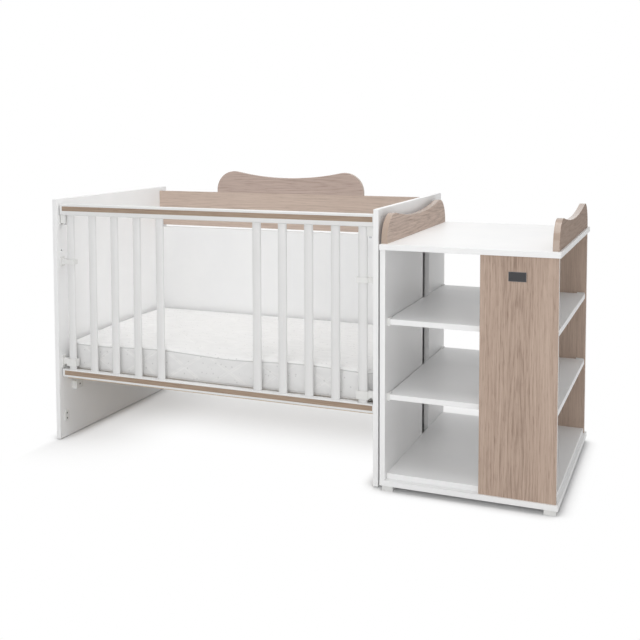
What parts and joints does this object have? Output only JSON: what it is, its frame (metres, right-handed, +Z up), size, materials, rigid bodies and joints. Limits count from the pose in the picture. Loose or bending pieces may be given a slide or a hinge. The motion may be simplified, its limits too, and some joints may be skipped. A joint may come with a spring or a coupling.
{
  "type": "convertible crib",
  "caption": "Cot with end panels, boarded back, sliding barred front side and mattress, joined to an open-shelved changing unit with wavy guards.",
  "frame": {"origin": "on the floor, at the middle of the whole object's outline", "axes": "+X along the cot towards the changing unit, +Y from the barred front to the back, +Z up"},
  "size_m": [1.67, 0.765, 0.897],
  "materials": {
    "white_board": "white laminate, satin",
    "white_painted_wood": "white paint, satin",
    "brown_board": "grey-brown ash laminate, satin",
    "base_wood": "bare pine",
    "dowel_wood": "bare beech",
    "white_plastic": "moulded",
    "steel": "zinc plated",
    "mattress_cover": "quilted cover",
    "badge": "black, bare"
  },
  "bodies": {
    "cot_and_unit": {"back_panel": "white_board", "back_top_board": "brown_board", "badge_plate": "badge", "barrel_nuts": "steel", "base_brackets": "white_plastic", "base_end_rails": "base_wood", "base_front_rail": "base_wood", "base_rear_rail": "base_wood", "base_slats": "base_wood", "bottom_shelf": "white_board", "crest_board": "brown_board", "crest_dowels": "dowel_wood", "fitting_screws": "steel", "join_pins": "dowel_wood", "join_spacers": "white_plastic", "left_conversion_plate": "white_plastic", "left_end_panel": "white_board", "left_guard": "brown_board", "left_low_guide": "white_plastic", "left_middle_guide": "white_plastic", "left_strike_plate": "white_plastic", "middle_shelf": "white_board", "middle_shelf_clips": "white_plastic", "panel_bolts": "steel", "panel_glides": "white_plastic", "right_conversion_plate": "white_plastic", "right_end_panel": "white_board", "right_guard": "brown_board", "right_low_guide": "white_plastic", "right_middle_guide": "white_plastic", "right_strike_plate": "white_plastic", "unit_base": "white_board", "unit_brown_front_board": "brown_board", "unit_brown_rear_board": "brown_board", "unit_dowels": "dowel_wood", "unit_feet": "white_plastic", "unit_left_front_board": "white_board", "unit_left_rear_board": "white_board", "unit_top": "white_board", "upper_shelf": "white_board", "upper_shelf_clips": "white_plastic"},
    "drop_side": {"bottom_rail": "white_painted_wood", "bottom_rail_strip": "brown_board", "left_catch_housing": "white_plastic", "right_catch_housing": "white_plastic", "slat_1": "white_painted_wood", "slat_10": "white_painted_wood", "slat_11": "white_painted_wood", "slat_12": "white_painted_wood", "slat_13": "white_painted_wood", "slat_2": "white_painted_wood", "slat_3": "white_painted_wood", "slat_4": "white_painted_wood", "slat_5": "white_painted_wood", "slat_9": "white_painted_wood", "top_rail": "white_painted_wood", "top_rail_strip": "brown_board"},
    "mattress": {"mattress": "mattress_cover"},
    "left_bolt": {"left_slide_bolt": "steel"},
    "right_bolt": {"right_slide_bolt": "steel"}
  },
  "joints": [
    {"name": "drop_side_slide", "type": "slide", "parent": "cot_and_unit", "child": "drop_side", "axis": [0, 0, 1], "range_m": [-0.105, 0]},
    {"name": "left_bolt_slide", "type": "slide", "parent": "drop_side", "child": "left_bolt", "axis": [-1, 0, 0], "range_m": [0, 0.008]},
    {"name": "right_bolt_slide", "type": "slide", "parent": "drop_side", "child": "right_bolt", "axis": [1, 0, 0], "range_m": [0, 0.008]},
    {"name": "mattress_lift", "type": "slide", "parent": "cot_and_unit", "child": "mattress", "axis": [0, 0, 1], "range_m": [0, 0.6]}
  ]
}
